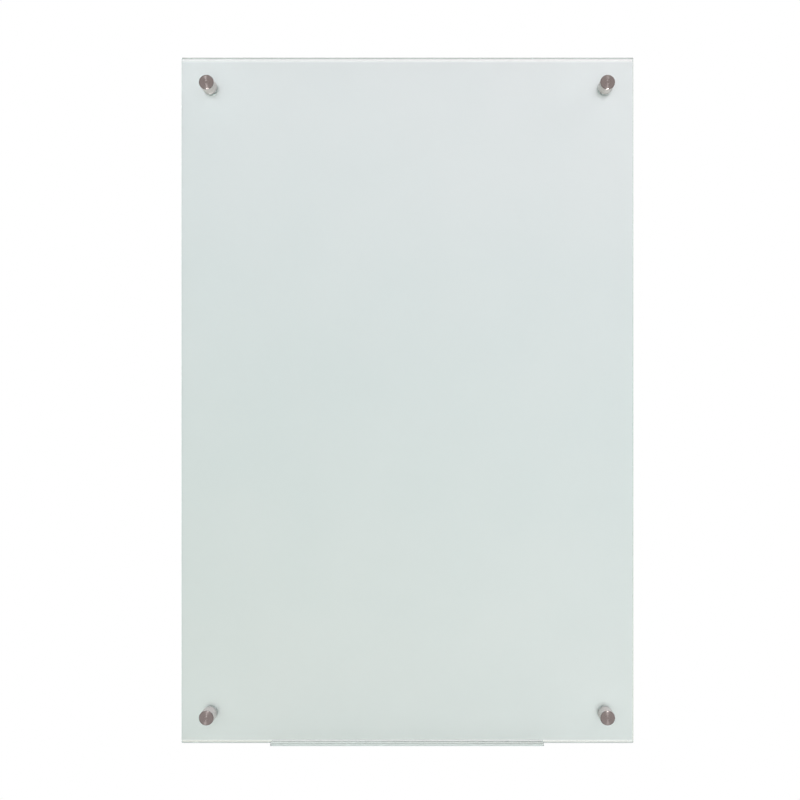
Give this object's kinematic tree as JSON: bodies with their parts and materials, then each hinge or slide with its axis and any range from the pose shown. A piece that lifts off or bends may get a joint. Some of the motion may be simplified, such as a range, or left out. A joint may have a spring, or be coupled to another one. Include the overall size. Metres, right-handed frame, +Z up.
{
  "type": "glass whiteboard",
  "caption": "Upright frameless frosted glass writing board on four turned steel stand-offs, with a clear pen ledge at its foot.",
  "frame": {"origin": "midway between the four stand-offs, on the wall's surface", "axes": "+X to the right as a reader faces the board, +Y into the wall, +Z up"},
  "size_m": [0.586, 0.0684, 0.889],
  "materials": {
    "frosted_glass": "acid-etched writing face, polished edges",
    "clear_acrylic": "clear, gloss",
    "clear_tape": "clear foam tape",
    "brushed_steel": "turned, satin",
    "zinc_steel": "zinc plated",
    "clear_vinyl": "clear, soft",
    "white_nylon": "moulded",
    "grey_nylon": "moulded"
  },
  "bodies": {
    "board": {"glass_panel": "frosted_glass", "pen_ledge": "clear_acrylic", "ledge_tape": "clear_tape", "base_top_left": "brushed_steel", "rear_washer_top_left": "clear_vinyl", "hole_sleeve_top_left": "white_nylon", "wall_screw_top_left": "zinc_steel", "wall_plug_top_left": "grey_nylon", "base_top_right": "brushed_steel", "rear_washer_top_right": "clear_vinyl", "hole_sleeve_top_right": "white_nylon", "wall_screw_top_right": "zinc_steel", "wall_plug_top_right": "grey_nylon", "base_bottom_left": "brushed_steel", "rear_washer_bottom_left": "clear_vinyl", "hole_sleeve_bottom_left": "white_nylon", "wall_screw_bottom_left": "zinc_steel", "wall_plug_bottom_left": "grey_nylon", "base_bottom_right": "brushed_steel", "rear_washer_bottom_right": "clear_vinyl", "hole_sleeve_bottom_right": "white_nylon", "wall_screw_bottom_right": "zinc_steel", "wall_plug_bottom_right": "grey_nylon"},
    "washer_top_left": {"front_washer_top_left": "clear_vinyl"},
    "cap_top_left": {"cap_top_left": "brushed_steel", "stud_top_left": "zinc_steel"},
    "washer_top_right": {"front_washer_top_right": "clear_vinyl"},
    "cap_top_right": {"cap_top_right": "brushed_steel", "stud_top_right": "zinc_steel"},
    "washer_bottom_left": {"front_washer_bottom_left": "clear_vinyl"},
    "cap_bottom_left": {"cap_bottom_left": "brushed_steel", "stud_bottom_left": "zinc_steel"},
    "washer_bottom_right": {"front_washer_bottom_right": "clear_vinyl"},
    "cap_bottom_right": {"cap_bottom_right": "brushed_steel", "stud_bottom_right": "zinc_steel"}
  },
  "joints": [
    {"name": "cap_top_left_advance", "type": "slide", "parent": "board", "child": "washer_top_left", "axis": [0, -1, 0], "range_m": [0, 0.0045]},
    {"name": "cap_top_left_unscrew", "type": "hinge", "parent": "washer_top_left", "child": "cap_top_left", "pos_m": [-0.256, 0, 0.4055], "axis": [0, -1, 0], "range_deg": [0, 1080]},
    {"name": "cap_top_right_advance", "type": "slide", "parent": "board", "child": "washer_top_right", "axis": [0, -1, 0], "range_m": [0, 0.0045]},
    {"name": "cap_top_right_unscrew", "type": "hinge", "parent": "washer_top_right", "child": "cap_top_right", "pos_m": [0.256, 0, 0.4055], "axis": [0, -1, 0], "range_deg": [0, 1080]},
    {"name": "cap_bottom_left_advance", "type": "slide", "parent": "board", "child": "washer_bottom_left", "axis": [0, -1, 0], "range_m": [0, 0.0045]},
    {"name": "cap_bottom_left_unscrew", "type": "hinge", "parent": "washer_bottom_left", "child": "cap_bottom_left", "pos_m": [-0.256, 0, -0.4055], "axis": [0, -1, 0], "range_deg": [0, 1080]},
    {"name": "cap_bottom_right_advance", "type": "slide", "parent": "board", "child": "washer_bottom_right", "axis": [0, -1, 0], "range_m": [0, 0.0045]},
    {"name": "cap_bottom_right_unscrew", "type": "hinge", "parent": "washer_bottom_right", "child": "cap_bottom_right", "pos_m": [0.256, 0, -0.4055], "axis": [0, -1, 0], "range_deg": [0, 1080]}
  ],
  "couplings": [
    {"joint": "cap_top_left_unscrew", "follows": "cap_top_left_advance", "rad_per_m": 4188.8},
    {"joint": "cap_top_right_unscrew", "follows": "cap_top_right_advance", "rad_per_m": 4188.8},
    {"joint": "cap_bottom_left_unscrew", "follows": "cap_bottom_left_advance", "rad_per_m": 4188.8},
    {"joint": "cap_bottom_right_unscrew", "follows": "cap_bottom_right_advance", "rad_per_m": 4188.8}
  ]
}
